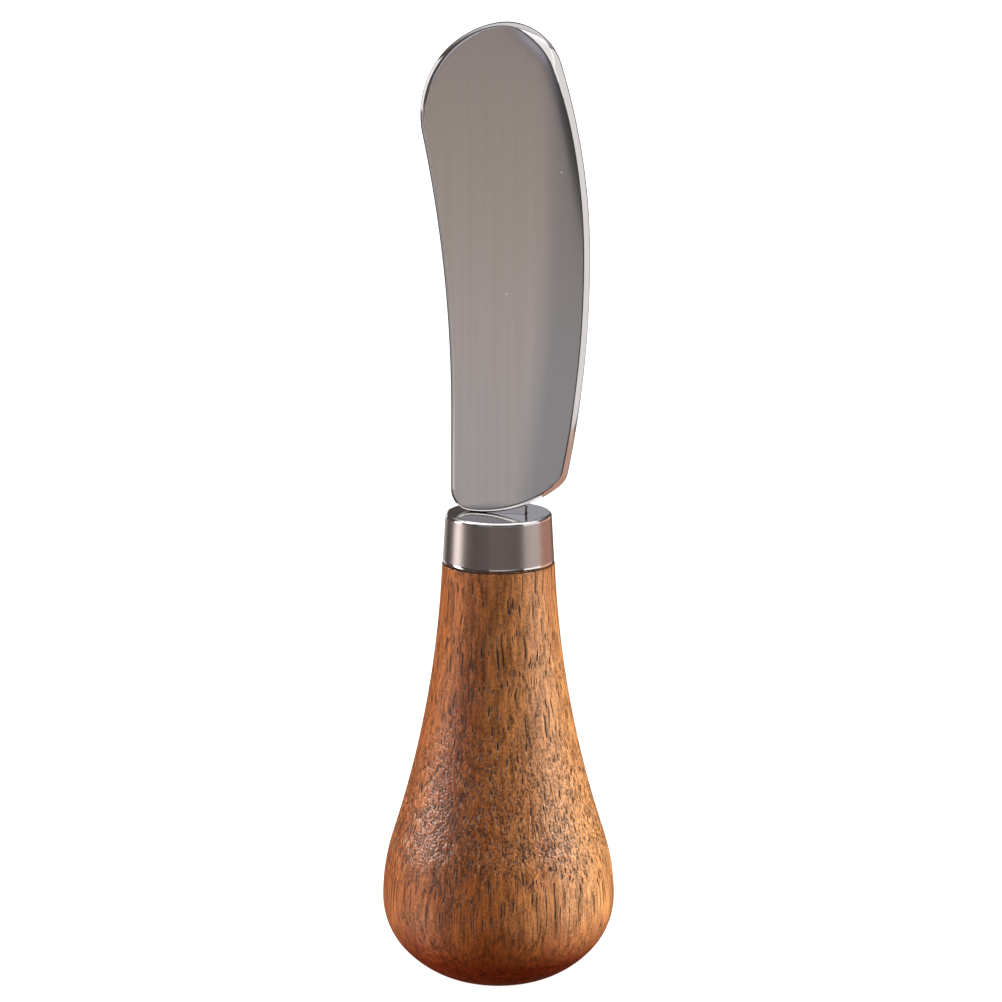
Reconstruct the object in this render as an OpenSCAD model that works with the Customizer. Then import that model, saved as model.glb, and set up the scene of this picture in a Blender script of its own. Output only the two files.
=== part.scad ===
// Cheese spatula: a polished spreader blade set by its tang in a turned wooden handle.
// Millimetres. The centre of the foot is the origin and +Z runs up the handle.
// The blade lies in the XZ plane, with its straight spine at -X and its convex edge at +X.

/* [Handle] */
// Largest diameter of the bulb
bulb_d = 30; // [27:0.5:33]
// Diameter of the flat foot
foot_d = 12; // [8:0.5:13]
// Angle at which the underside rises from the foot, in degrees
foot_rise = 16.5; // [8:0.5:25]
// Height of the largest diameter
bulb_z = 10.7; // [9:0.1:13]
// Radius of the arc above the largest diameter
shoulder_r = 27; // [20:0.5:30]
// Height of the wooden shoulder that the ferrule stands on
handle_h = 54.9; // [50:0.1:62]
// Diameter of the neck at that shoulder
neck_d = 14.5; // [14.2:0.1:15.5]
// Lean of the neck's side at that shoulder, in degrees
neck_lean = 2.4; // [1.5:0.1:3.5]

/* [Ferrule] */
// Height of the ferrule
ferrule_h = 6.6; // [5:0.1:9]
// Outer diameter at its lower edge
ferrule_d = 14.3; // [13.4:0.1:14.4]
// How much narrower its top is than its lower edge
ferrule_taper = 0.6; // [0:0.05:0.8]
// Thickness of its wall and of its top
ferrule_wall = 0.8; // [0.6:0.05:1]
// Radius of its rounded top edge
ferrule_top_r = 0.45; // [0.3:0.05:0.8]
// Radius of its polished lower edge
ferrule_lower_r = 0.45; // [0.2:0.05:0.5]

/* [Blade] */
// Length of the blade above the ferrule
blade_l = 63.5; // [56:0.1:72]
// Thickness of the sheet
blade_t = 2; // [1.9:0.1:2.4]
// Distance of the straight spine from the handle's axis
spine_x = 6.2; // [6:0.1:7]
// Length of the straight part of the spine
spine_straight = 13.5; // [10:0.5:20]
// Radius of the hollow arc that carries the spine out to the tip
spine_r = 168; // [130:1:220]
// Radius of the round tip
tip_r = 12.3; // [11:0.1:13]
// Radius where the tip turns into the convex edge
tip_corner_r = 7.3; // [5:0.1:9]
// Reach of the convex edge from the handle's axis
edge_x = 12; // [11:0.1:13]
// Height of that reach above the ferrule
edge_h = 33.5; // [28:0.5:38]
// Radius of the convex edge above that height
upper_edge_r = 82; // [72:1:98]
// Radius of the convex edge below that height
lower_edge_r = 138; // [115:1:175]
// Radius of the heel
heel_r = 3.1; // [1.5:0.1:4]
// Radius of the arc that the blade rests on the ferrule with
seat_r = 16.5; // [14:0.5:20]
// Distance of its lowest point from the handle's axis, on the spine's side
seat_x = 2.5; // [1.5:0.1:3.2]
// Radius of the corner below the spine
seat_corner_r = 2.8; // [2:0.1:3.2]
// Radius of the polished round along every edge
edge_round = 0.65; // [0.4:0.05:0.65]
// How much wider that round is at the two sides of the tip
tip_swell = 0.4; // [0:0.05:0.8]
// Width of the ground facet beside the convex edge
grind_w = 4.6; // [3:0.1:6]
// How much the facet thins each side at the edge
grind_depth = 0.25; // [0.1:0.01:0.3]
// Radius of the arc that borders the facet
grind_r = 270; // [220:5:330]
// Height above the ferrule at which that arc runs upright
grind_h = 46.4; // [42:0.2:50]

/* [Tang] */
// Length of the tang below the top of the ferrule
tang_l = 27; // [20:0.5:32]
// Width of the tang where it leaves the blade
tang_w = 7.4; // [6:0.1:8]
// Width of its round end
tang_end_w = 5; // [4:0.1:6]
// Thickness of the tang, which is thinner than the blade
tang_t = 1.2; // [1:0.1:1.5]
// Thickness of the bond between the tang and the wall of its hole, at the tang's corners
bond = 0.6; // [0.4:0.05:0.8]

/* [Hidden] */
$fn = 96;

// Clearances
slot_clear = 0.1;
bore_clear = 0.05;
cast_clear = 0.01;
bond_layer = 0.5;

// Steps along a curve
turn_steps = 8;
arc_steps = 16;
long_steps = 24;
round_steps = 4;

// Underside of the handle: two tangent arcs that leave the foot at its angle and end upright at the bulb
bulb_r = bulb_d/2;
foot_edge = [foot_d/2, 0];
bulb_edge = [bulb_r, bulb_z];
foot_dir = [cos(foot_rise), sin(foot_rise)];
foot_normal = [-foot_dir.y, foot_dir.x];
up = [0, 1];
under_span = bulb_edge - foot_edge;
under_turn = 1 - foot_dir*up;
under_run = under_span*(foot_dir + up);
tangent_l = (sqrt(under_run^2 + 2*under_turn*under_span*under_span) - under_run)/(2*under_turn);
under_join = (foot_edge + bulb_edge + tangent_l*(foot_dir - up))/2;
base_run = under_join - foot_edge;
base_arc_r = base_run*base_run/(2*foot_normal*base_run);
base_c = foot_edge + base_arc_r*foot_normal;
belly_run = under_join - bulb_edge;
belly_r = -belly_run*belly_run/(2*belly_run.x);
belly_c = [bulb_r - belly_r, bulb_z];

// Side of the handle: a convex arc above the bulb and a hollow arc up to the neck
neck_r = neck_d/2;
shoulder_c = [bulb_r - shoulder_r, bulb_z];
neck_break = 0.15;
neck_end = [neck_r, handle_h - neck_break];
neck_normal = [cos(neck_lean), sin(neck_lean)];
neck_span = neck_end - shoulder_c;
sweep_r = (neck_span*neck_span - shoulder_r^2)/(2*(shoulder_r - neck_normal*neck_span));
sweep_c = neck_end + sweep_r*neck_normal;

// Ferrule and the wooden spigot inside it
ferrule_top = handle_h + ferrule_h;
ferrule_r = ferrule_d/2;
ferrule_top_radius = ferrule_r - ferrule_taper/2;
bore_r = ferrule_top_radius - ferrule_wall;
cap_z = ferrule_top - ferrule_wall;
spigot_r = bore_r - bore_clear;
spigot_top = cap_z - bond_layer;
spigot_break = 0.4;

// Hole for the tang, drilled with a pointed drill
hole_r = norm([tang_w/2, tang_t/2]) + bond;
hole_end = ferrule_top - tang_l - 2*bond;
drill_angle = 118;
drill_point = hole_r/tan(drill_angle/2);

// Blade: centres of the tangent arcs of its outline, in the plane of the blade
tip_rise = blade_l - tip_r;
spine_c = [-spine_x - spine_r, spine_straight];
tip_c = [spine_c.x + sqrt((spine_r + tip_r)^2 - (tip_rise - spine_straight)^2), tip_rise];
upper_c = [edge_x - upper_edge_r, edge_h];
lower_c = [edge_x - lower_edge_r, edge_h];
seat_c = [-seat_x, seat_r];
tip_corner_c = inner_touch(upper_c, upper_edge_r, tip_c, tip_r, tip_corner_r, 1);
heel_c = inner_touch(lower_c, lower_edge_r, seat_c, seat_r, heel_r, -1);
seat_corner_x = seat_corner_r - spine_x;
seat_corner_c = [seat_corner_x, seat_r - sqrt((seat_r - seat_corner_r)^2 - (seat_corner_x - seat_c.x)^2)];

// Tang: it reaches up into the blade past the seat's rise and the round along its edge
tang_end_r = tang_end_w/2;
tang_end_c = [0, tang_end_r - tang_l];
tang_root = seat_r - sqrt(seat_r^2 - (tang_w/2 + seat_x)^2) + 2*edge_round;

// Grind: the facet is part of a wide cone, and its inner border is an arc on the flat of the blade
grind_drop = grind_r - sqrt(grind_r^2 - (grind_h - edge_h)^2);
grind_c = [edge_x - edge_round - grind_w + grind_drop - grind_r, grind_h];
grind_slope = grind_depth/grind_w;
grind_margin = 0.3;

// Direction from one point to another, in degrees
function direction(from, to) = atan2(to.y - from.y, to.x - from.x);

// Points of an arc after its first one
function arc(c, r, from, to, steps) =
    [for (i = [1 : steps]) let (a = from + (to - from)*i/steps) c + r*[cos(a), sin(a)]];

// Centre of a circle of radius r that touches two circles from within, on the side given by its sign
function inner_touch(c1, r1, c2, r2, r, side) =
    let (d = norm(c2 - c1), u = (c2 - c1)/d)
    let (along = (d^2 + (r1 - r)^2 - (r2 - r)^2)/(2*d))
    let (across = sqrt((r1 - r)^2 - along^2))
    c1 + along*u + side*across*[-u.y, u.x];

// A sample of the blade's outline: point, outward normal and width of its round, which swells towards
// the middle of an arc and back
function arc_rail(c, r, from, to, steps, bulge = 1, swell = 0) =
    [for (i = [1 : steps]) let (a = from + (to - from)*i/steps, u = [cos(a), sin(a)])
        [c + r*u, bulge*u, edge_round + swell*sin(180*i/steps)]];
function spine_rail(from, to, steps) =
    [for (i = [1 : steps]) [[-spine_x, from + (to - from)*i/steps], [-1, 0], edge_round]];

// Outline from the lowest point of the seat up the convex edge to the tip
tip_join = direction(tip_c, tip_corner_c);
right_rail = concat(
    arc_rail(seat_c, seat_r, -90, direction(seat_c, heel_c), arc_steps),
    arc_rail(heel_c, heel_r, direction(seat_c, heel_c), direction(lower_c, heel_c), turn_steps),
    arc_rail(lower_c, lower_edge_r, direction(lower_c, heel_c), 0, arc_steps),
    arc_rail(upper_c, upper_edge_r, 0, direction(upper_c, tip_corner_c), arc_steps),
    arc_rail(tip_corner_c, tip_corner_r, direction(upper_c, tip_corner_c), tip_join, long_steps,
        swell = tip_swell));

// Outline from the lowest point of the seat up the spine to the tip, with as many samples
left_rail = concat(
    arc_rail(seat_c, seat_r, -90, direction(seat_c, seat_corner_c), turn_steps),
    arc_rail(seat_corner_c, seat_corner_r, direction(seat_c, seat_corner_c), -180, arc_steps),
    spine_rail(seat_corner_c.y, spine_straight, arc_steps),
    arc_rail(spine_c, spine_r, 0, direction(spine_c, tip_c), arc_steps, bulge = -1),
    arc_rail(tip_c, tip_r, 180 + direction(spine_c, tip_c), tip_join, long_steps, swell = tip_swell));

seat_point = [[-seat_x, 0], [0, -1], edge_round];
rail_steps = len(right_rail);
outline = concat([seat_point], right_rail, [for (i = [rail_steps - 2 : -1 : 0]) left_rail[i]]);

// How far a point of the blade lies beyond the inner border of the grind
function beyond_grind(p) = norm(p - grind_c) - grind_r;

// Points across one sample's edge, from the flat of the front face to the flat of the back face
function edge_section(sample) =
    let (p = sample[0], n = sample[1], width = sample[2])
    let (start = p - width*n, beyond = beyond_grind(start))
    let (on_facet = beyond > grind_margin)
    let (border = grind_c + grind_r*(start - grind_c)/norm(start - grind_c))
    let (flat = on_facet ? border : start - grind_margin*n)
    let (half = blade_t/2 - grind_slope*max(0, beyond))
    let (curve = [for (i = [0 : round_steps]) let (a = 90*i/round_steps)
        [p - width*(1 - sin(a))*n, half - edge_round*(1 - cos(a))]])
    let (front = concat([[flat, blade_t/2]], curve))
    concat([for (q = front) [q[0].x, -q[1], q[0].y]],
        [for (i = [len(front) - 1 : -1 : 0]) [front[i][0].x, front[i][1], front[i][0].y]]);

// Side of the handle as one closed half section: foot, bulb, neck, spigot and the hole for the tang
module handle_section() {
    polygon(concat(
        [[0, 0], foot_edge],
        arc(base_c, base_arc_r, direction(base_c, foot_edge), direction(base_c, under_join), turn_steps),
        arc(belly_c, belly_r, direction(belly_c, under_join), 0, long_steps),
        arc(shoulder_c, shoulder_r, 0, direction(shoulder_c, sweep_c), long_steps),
        arc(sweep_c, sweep_r, 360 + direction(sweep_c, shoulder_c), 180 + neck_lean, long_steps),
        [[neck_r - neck_break, handle_h], [spigot_r, handle_h],
         [spigot_r, spigot_top - spigot_break], [spigot_r - spigot_break, spigot_top], [hole_r, spigot_top],
         [hole_r, hole_end], [0, hole_end - drill_point]]));
}

module handle() {
    color("saddlebrown")
        rotate_extrude()
            handle_section();
}

// Tapered tang with a round end, or with a clearance the room that it takes
module tang(clear = 0) {
    side = tang_w/2 + clear;
    rotate([90, 0, 0])
        linear_extrude(tang_t + 2*clear, center = true)
            polygon(concat(
                [[side, tang_root], [side, 0], [tang_end_r + clear, tang_end_c.y]],
                arc(tang_end_c, tang_end_r + clear, 0, -180, arc_steps),
                [[-side, 0], [-side, tang_root]]));
}

// Resin that fills the hole round the tang and the layer under the ferrule's top
module tang_epoxy() {
    color("goldenrod")
        difference() {
            rotate_extrude()
                polygon([[0, hole_end - drill_point], [hole_r, hole_end], [hole_r, spigot_top],
                    [bore_r, spigot_top], [bore_r, cap_z], [0, cap_z]]);
            translate([0, 0, ferrule_top])
                tang(cast_clear);
        }
}

// Drawn cap with a rounded top edge, open below, with the slot that the tang goes through
module ferrule() {
    slot_l = tang_w + 2*slot_clear;
    top_c = [ferrule_top_radius - ferrule_top_r, ferrule_top - ferrule_top_r];
    rim_c = [ferrule_r - ferrule_lower_r, handle_h + ferrule_lower_r];
    color("silver")
        difference() {
            rotate_extrude()
                polygon(concat(
                    [[bore_r, handle_h], [rim_c.x, handle_h]],
                    arc(rim_c, ferrule_lower_r, -90, 0, turn_steps),
                    [top_c + [ferrule_top_r, 0]],
                    arc(top_c, ferrule_top_r, 0, 90, turn_steps),
                    [[0, ferrule_top], [0, cap_z], [bore_r, cap_z]]));
            translate([0, 0, cap_z + ferrule_wall/2])
                cube([slot_l, tang_t + 2*slot_clear, 2*ferrule_wall], center = true);
        }
}

// Blade and tang in one piece: the section of the edge is swept round the outline and both flats are closed
module blade() {
    count = len(outline);
    rings = 2*(round_steps + 2);
    points = [for (sample = outline) each edge_section(sample)];
    sweep_faces = [for (i = [0 : count - 1], j = [0 : rings - 2])
        let (a = i*rings + j, b = ((i + 1) % count)*rings + j)
        each [[a, b, a + 1], [b, b + 1, a + 1]]];
    flat_faces = [for (k = [0 : rail_steps - 1])
        let (r0 = k, r1 = k + 1, l0 = (count - k) % count, l1 = count - k - 1)
        each concat(l0 == r0 ? [] : [[l0, r0, r1]], l1 == r1 ? [] : [[l0, r1, l1]])];
    color("lightgray")
        translate([0, 0, ferrule_top]) {
            polyhedron(points, concat(
                sweep_faces,
                [for (f = flat_faces) [f[2]*rings, f[1]*rings, f[0]*rings]],
                [for (f = flat_faces) [for (v = f) v*rings + rings - 1]]));
            tang();
        }
}

handle();
tang_epoxy();
ferrule();
blade();
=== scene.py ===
"""A cheese spatula: polished blade, ferrule and turned wooden handle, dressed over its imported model."""

import math

import bmesh
import bpy
from bpy.props import FloatProperty, FloatVectorProperty, PointerProperty
from mathutils import Matrix, Vector


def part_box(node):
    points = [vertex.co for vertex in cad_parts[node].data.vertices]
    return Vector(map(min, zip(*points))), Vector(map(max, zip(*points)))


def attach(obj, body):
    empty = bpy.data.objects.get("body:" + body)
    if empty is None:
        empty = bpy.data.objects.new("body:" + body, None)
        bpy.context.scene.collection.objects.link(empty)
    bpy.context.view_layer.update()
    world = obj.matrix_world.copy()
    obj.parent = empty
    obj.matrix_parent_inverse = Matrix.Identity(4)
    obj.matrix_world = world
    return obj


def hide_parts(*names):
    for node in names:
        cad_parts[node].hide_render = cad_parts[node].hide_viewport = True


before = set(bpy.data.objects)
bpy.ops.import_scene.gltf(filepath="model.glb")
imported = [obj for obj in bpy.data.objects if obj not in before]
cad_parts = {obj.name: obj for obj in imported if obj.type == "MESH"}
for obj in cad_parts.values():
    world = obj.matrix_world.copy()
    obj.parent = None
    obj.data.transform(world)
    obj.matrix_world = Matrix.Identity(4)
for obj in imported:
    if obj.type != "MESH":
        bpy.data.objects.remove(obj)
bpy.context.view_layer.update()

bl_info = {
    "name": "Cheese Spatula",
    "version": (1, 0, 0),
    "blender": (4, 5, 0),
    "location": "3D View > Sidebar > Spatula",
    "description": "Builds a cheese spatula and its studio over the packed model",
    "category": "Add Mesh",
}

MM = 0.001
BODY = "root"

# Up in the plane of an outline, and the two ways to turn in it
UP = Vector((0, 1))
LEFT, RIGHT = 1, -1

# Points this close are one point, and a cut runs through a point this close to it
WELD = 0.001 * MM
SNAP = 0.1 * WELD

# Steps of a full turn on the lathe
LATHE_STEPS = 128

# Finishes of a steel piece's faces, and a mark for the blade's flat while it is cut into cells
MAIN, POLISHED, FLAT = 0, 1, 2

# Rings of faces inside the blade's outline, from the edge inwards
RINGS = [width * MM for width in (0.03, 0.06, 0.1, 0.14, 0.16, 0.16, 0.1, 0.1, 0.1, 0.1, 0.2, 0.3, 0.4, 0.5)]

# Cells of the blade's flat, and the rows and columns of cuts between them
CELL_HEIGHT, CELL_WIDTH = 1.5 * MM, 1.25 * MM
ROWS, COLUMNS = range(1, 42), range(-8, 10)

# The polished round swells at these heights above the tip's centre, as shares of the tip's radius
SPINE_SWELL, EDGE_SWELL = 0.42, 0.75
SWELL_FALL = 8

# Share of a straight bevel in the polished round beside the facet
STRAIGHTEST = 0.7

# Drop of the all but level step from the blade to the tang
TANG_STEP = 0.01 * MM

# Inputs of a node that mixes colours, and its settings
FACTOR, FIRST, SECOND = 0, 6, 7
COLOURS = {"out": 2, "data_type": "RGBA"}

# Lens: focal length and shift in pixels of the square photograph, and the sensor in millimetres
PHOTO_SIDE = 1002
FOCAL = 6240
SHIFT_X, SHIFT_Y = 2.5, 7.2
SENSOR = 36

# Camera: its turn round to the edge's side, its rise, and its distance from the point that it faces
CAMERA_ROUND, CAMERA_RISE = math.radians(15), math.radians(12.5)
CAMERA_AWAY = 0.8
FOCUS = Vector((0, 0, 0.062))

# Level directions from the axis to the camera and to its right
TO_CAMERA = Vector((math.sin(CAMERA_ROUND), -math.cos(CAMERA_ROUND), 0))
TO_RIGHT = Vector((math.cos(CAMERA_ROUND), math.sin(CAMERA_ROUND), 0))

# Pieces that a lamp is kept to, and the tints of the lamps
WOOD, FERRULE, BLADE = ("turned_handle",), ("drawn_ferrule",), ("ground_blade",)
WHITE, WARM, SAND = "#FFFFFF", "#FFF4EA", "#FFF0E0"
COOL, COPPER, BLUSH = "#DDE2F0", "#E6B09A", "#F0BCA6"

# What a lamp faces: the axis at the object's middle, or straight up where the lamp lies on the table, with
# a slight lean that settles which way its width runs
MIDDLE = 0.06
FACES_UP = None
STRAIGHT_UP = Vector((0, 0.001, 1))

# Lamps: name, place as degrees round to the camera's right, metres from the axis and height, the height on
# the axis that the lamp faces, its width and height, its tint and the pieces that it is kept to
LAMPS = (
    ("top_box", (165, 0.1, 0.9), 0, (1.2, 1.2), WHITE, WOOD + FERRULE + BLADE),
    # Light on the wood
    ("left_box", (-95, 0.45, -0.25), MIDDLE, (0.3, 0.4), WHITE, WOOD),
    ("right_box", (88, 0.5, 0.08), MIDDLE, (0.5, 0.45), WARM, WOOD),
    ("left_sheen", (-92, 0.45, 0.3), MIDDLE, (0.3, 0.38), WHITE, WOOD),
    ("right_sheen", (80, 0.45, 0.36), MIDDLE, (0.28, 0.32), WHITE, WOOD),
    ("left_table", (-100, 0.06, 0), FACES_UP, (0.08, 0.16), WARM, WOOD),
    ("right_table", (100, 0.06, 0), FACES_UP, (0.08, 0.16), WARM, WOOD),
    # Cards that the ferrule and the blade mirror
    ("left_high", (-85, 0.45, 0.36), MIDDLE, (0.4, 0.3), WHITE, FERRULE),
    ("right_high", (80, 0.45, 0.36), MIDDLE, (0.4, 0.3), WHITE, FERRULE),
    ("left_card", (-96, 0.42, -0.07), -0.07, (0.16, 0.36), WHITE, FERRULE),
    ("right_card", (76, 0.5, -0.02), -0.02, (0.4, 0.3), WHITE, FERRULE),
    ("copper_card", (122, 0.4, -0.05), -0.05, (0.4, 0.36), COPPER, FERRULE),
    ("back_card", (174, 0.3, 0.128), MIDDLE, (0.06, 0.1), COOL, FERRULE),
    ("front_card", (20, 0.5, 0), FACES_UP, (0.6, 0.5), WHITE, FERRULE),
    ("near_card", (-30, 0.33, 0), FACES_UP, (0.28, 0.26), WHITE, BLADE),
    ("far_card", (-30, 0.69, 0), FACES_UP, (0.28, 0.46), SAND, BLADE),
    ("heel_card", (60, 0.09, 0), FACES_UP, (0.18, 0.14), BLUSH, BLADE),
    ("cap_card", (-30, 0.7, 0.16), MIDDLE, (0.4, 0.2), COOL, FERRULE),
    ("cap_light", (0, 0, 0.6), 0, (0.7, 0.7), WHITE, FERRULE),
    ("seat_card", (-30, 0.7, 0.16), MIDDLE, (0.4, 0.2), COOL, BLADE),
    ("edge_card", (63, 0.5, 0.15), 0.15, (0.72, 0.56), WHITE, BLADE),
    ("corner_card", (16, 0.5, 0.32), MIDDLE, (0.24, 0.4), WHITE, BLADE),
    ("spine_card", (-100, 0.42, 0.17), 0.17, (0.4, 0.2), WHITE, BLADE),
    ("side_card", (-75, 0.42, 0.02), 0.02, (0.35, 0.11), WHITE, BLADE),
    ("rear_table", (165, 0.45, 0), FACES_UP, (0.7, 0.5), WHITE, BLADE),
    ("rear_card", (-160, 0.42, 0), 0, (0.2, 0.3), WHITE, FERRULE + BLADE),
)

# Lamps that show no reflection, and lamps that show only as one
UNMIRRORED = ("left_box", "right_box", "left_table", "right_table")
MIRRORED_ONLY = ("left_sheen", "right_sheen")


def linear(value):
    """Linear colour of an sRGB hex value."""
    parts = [int(value[i:i + 2], 16) / 255 for i in (1, 3, 5)]
    return [c / 12.92 if c <= 0.04045 else ((c + 0.055) / 1.055) ** 2.4 for c in parts] + [1.0]


def length(name, description, millimetres):
    """A length that a user may change."""
    return FloatProperty(name=name, description=description, default=millimetres * MM, min=0.0,
                         precision=5, unit="LENGTH")


def angle(name, description, degrees):
    """An angle that a user may change."""
    return FloatProperty(name=name, description=description, default=math.radians(degrees),
                         subtype="ANGLE", unit="ROTATION")


def colour(name, description, value):
    """A colour that a user may change."""
    return FloatVectorProperty(name=name, description=description, default=linear(value), size=4,
                               min=0.0, max=1.0, subtype="COLOR")


def power(name, lamp, watts):
    """A lamp's power that a user may change."""
    return FloatProperty(name=name, description=f"Power of the {lamp}", default=watts, min=0.0, unit="POWER")


class HandleSettings(bpy.types.PropertyGroup):
    """Sizes and colours of the wooden handle"""
    bulb_diameter: length("Bulb", "Largest diameter of the handle", 30)
    foot_diameter: length("Foot", "Diameter of the flat foot", 12)
    foot_rise: angle("Foot rise", "Angle at which the underside leaves the foot", 16.5)
    bulb_height: length("Bulb height", "Height of the largest diameter", 10.7)
    shoulder_radius: length("Shoulder", "Radius of the arc above the largest diameter", 27)
    neck_diameter: length("Neck", "Diameter under the ferrule", 14.5)
    neck_lean: angle("Neck lean", "Lean of the side under the ferrule", 2.4)
    neck_break: length("Neck break", "Broken edge under the ferrule", 0.05)
    spigot_clearance: length("Spigot clearance", "Gap between the spigot and the ferrule", 0.05)
    bond: length("Bond", "Resin between the tang's corners and the wall of its hole", 0.6)
    bond_layer: length("Bond layer", "Resin between the spigot and the ferrule's top", 0.5)
    drill_angle: angle("Drill", "Angle of the drill's point", 118)
    dark_wood: colour("Dark wood", "Darkest bands of the figure", "#8B4723")
    red_wood: colour("Red wood", "Redder side of the figure", "#B0642D")
    # Painted light: the side of the handle towards the bright right lamp takes this more golden colour
    lit_side_gold: colour("Golden wood", "More golden side of the figure", "#C6945E")
    pore: colour("Pores", "Open pores and vessels", "#381B0A")
    # Painted highlight: a pale rim below each pore on the slopes, where its lip catches the light
    painted_glint: colour("Fibre ends", "Dry ends of the fibres below each pore", "#D2A67C")
    # Partly real end grain, partly painted shade on the underside
    end_grain_and_shade: colour("End grain", "Underside, where the ends of the fibres drink more oil", "#6E260C")


class FerruleSettings(bpy.types.PropertyGroup):
    """Sizes and colours of the steel ferrule"""
    diameter: length("Diameter", "Outer diameter at the lower edge", 14.3)
    taper: length("Taper", "How much narrower the top is", 0.6)
    wall: length("Wall", "Thickness of the wall and of the top", 0.8)
    top_round: length("Top round", "Radius of the rounded top edge", 0.45)
    lower_round: length("Lower round", "Radius of the polished lower edge", 0.45)
    slot_clearance: length("Slot clearance", "Gap between the tang and its slot", 0.1)
    rim: length("Rim", "Height of the polished band above the lower edge", 0.6)
    steel: colour("Brushed steel", "Colour of the brushed wall", "#B6A8A3")
    polish: colour("Polished steel", "Colour of the polished edges", "#E4E2E2")


class BladeSettings(bpy.types.PropertyGroup):
    """Sizes and colours of the blade and its tang"""
    thickness: length("Thickness", "Thickness of the sheet", 2)
    spine: length("Spine", "Distance of the straight spine from the axis", 6.2)
    spine_straight: length("Straight spine", "Length of the straight part of the spine", 13.5)
    spine_radius: length("Spine radius", "Radius of the hollow arc of the spine", 168)
    tip_radius: length("Tip", "Radius of the round tip", 12.3)
    tip_corner: length("Tip corner", "Radius where the tip turns into the convex edge", 7.3)
    edge_reach: length("Edge", "Reach of the convex edge from the axis", 12)
    edge_height: length("Edge height", "Height of that reach above the ferrule", 33.5)
    upper_edge: length("Upper edge", "Radius of the convex edge above that height", 82)
    lower_edge: length("Lower edge", "Radius of the convex edge below that height", 138)
    heel: length("Heel", "Radius of the heel", 3.1)
    seat: length("Seat", "Radius of the arc that rests on the ferrule", 16.5)
    seat_offset: length("Seat offset", "Distance of the seat's lowest point from the axis", 2.5)
    seat_corner: length("Seat corner", "Radius of the corner below the spine", 2.8)
    edge_round: length("Edge round", "Radius of the polished round along every edge", 0.65)
    edge_flat: length("Edge flat", "Least half of the flat left between the two rounds", 0.12)
    tip_swell: length("Tip swell", "How much wider that round is at the sides of the tip", 0.4)
    tip_thin: length("Tip thinning", "How much narrower that round is at the top of the tip", 0.35)
    seat_thin: length("Seat thinning", "How much narrower that round is along the seat", 0.25)
    grind_width: length("Grind", "Width of the ground facet beside the convex edge", 4.6)
    grind_depth: length("Grind depth", "How much the facet thins each side at the edge", 0.25)
    grind_radius: length("Grind radius", "Radius of the border of the facet", 270)
    grind_height: length("Grind height", "Height at which that border runs upright", 46.4)
    grind_blend: length("Grind blend", "Width over which the flat runs into the facet", 1.8)
    roll_depth: length("Roll depth", "How much buffing rolls the upper face over at the edge", 0.11)
    roll_width: length("Roll width", "Width of that roll beside the polished round", 1.6)
    tang_length: length("Tang", "Length of the tang below the top of the ferrule", 27)
    tang_width: length("Tang width", "Width of the tang at the blade", 7.4)
    tang_end: length("Tang end", "Width of the tang's round end", 5)
    tang_thickness: length("Tang thickness", "Thickness of the tang", 1.2)
    steel: colour("Face", "Satin steel of the flat faces", "#CBC5C6")
    streak: colour("Streaks", "Warmer streaks in the satin", "#CAC3C0")
    # Painted reflection: the facet is tinted cooler and darker than the face
    ground: colour("Ground facet", "Finer steel of the ground facet", "#AFAEB2")
    polish: colour("Polished edge", "Polished steel of the rounded edges", "#E6E3E2")


class ResinSettings(bpy.types.PropertyGroup):
    """Colours of the hidden resin"""
    amber: colour("Resin", "Colour of the resin round the tang", "#C9A15A")
    cloud: colour("Cloud", "Colour of the air trapped in the resin", "#DDBF86")


class StageSettings(bpy.types.PropertyGroup):
    """Power of each lamp, and colours of the studio"""
    paper: colour("Paper", "Pale floor", "#FDFDFC")
    left_box: power("Left box", "low soft box on the left", 3.7)
    right_box: power("Right box", "warm soft box on the right", 5.0)
    top_box: power("Top box", "soft box overhead", 0.9)
    left_table: power("Left table", "bright table close to the foot on the left", 0.115)
    right_table: power("Right table", "bright table close to the foot on the right", 0.05)
    left_sheen: power("Left sheen", "high card that gives the wood its sheen on the left", 4.0)
    right_sheen: power("Right sheen", "high card that gives the wood its sheen on the right", 3.2)
    left_card: power("Left card", "card that the ferrule mirrors on its left", 0.56)
    right_card: power("Right card", "card that the ferrule mirrors on its right", 0.45)
    left_high: power("Left high card", "card that the ferrule's edges mirror on the left", 0.45)
    right_high: power("Right high card", "card that the ferrule's edges mirror on the right", 0.45)
    front_card: power("Front card", "grey card that the ferrule mirrors in front", 0.42)
    copper_card: power("Copper card", "warm card at the ferrule's far right", 0.4)
    back_card: power("Back card", "cool card that the top of the ferrule mirrors", 0.007)
    near_card: power("Near card", "grey card that the lower face of the blade mirrors", 0.12)
    far_card: power("Far card", "warmer card that the upper face of the blade mirrors", 0.19)
    seat_card: power("Seat card", "cool card that the seat of the blade mirrors", 0.15)
    cap_card: power("Cap card", "cool card that the edge of the ferrule's top mirrors", 0.12)
    cap_light: power("Cap light", "overhead card that the seat mirrors in the ferrule", 2.0)
    edge_card: power("Edge card", "broad card that the convex edge mirrors", 1.0)
    corner_card: power("Corner card", "card that the corner of the tip mirrors", 0.27)
    spine_card: power("Spine card", "card that the spine mirrors below the tip", 0.25)
    side_card: power("Side card", "dim card that the rest of the spine mirrors", 0.035)
    rear_card: power("Rear card", "card that draws a thin line along the spine", 0.15)
    heel_card: power("Heel card", "warm card that the heel mirrors", 0.046)
    rear_table: power("Rear table", "grey table that the back of the blade mirrors", 0.5)
    below: colour("Below", "Studio under the table", "#2E1F17")
    around: colour("Around", "Studio at the height of the object", "#534B47")
    above: colour("Above", "Studio overhead", "#CACACC")


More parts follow.
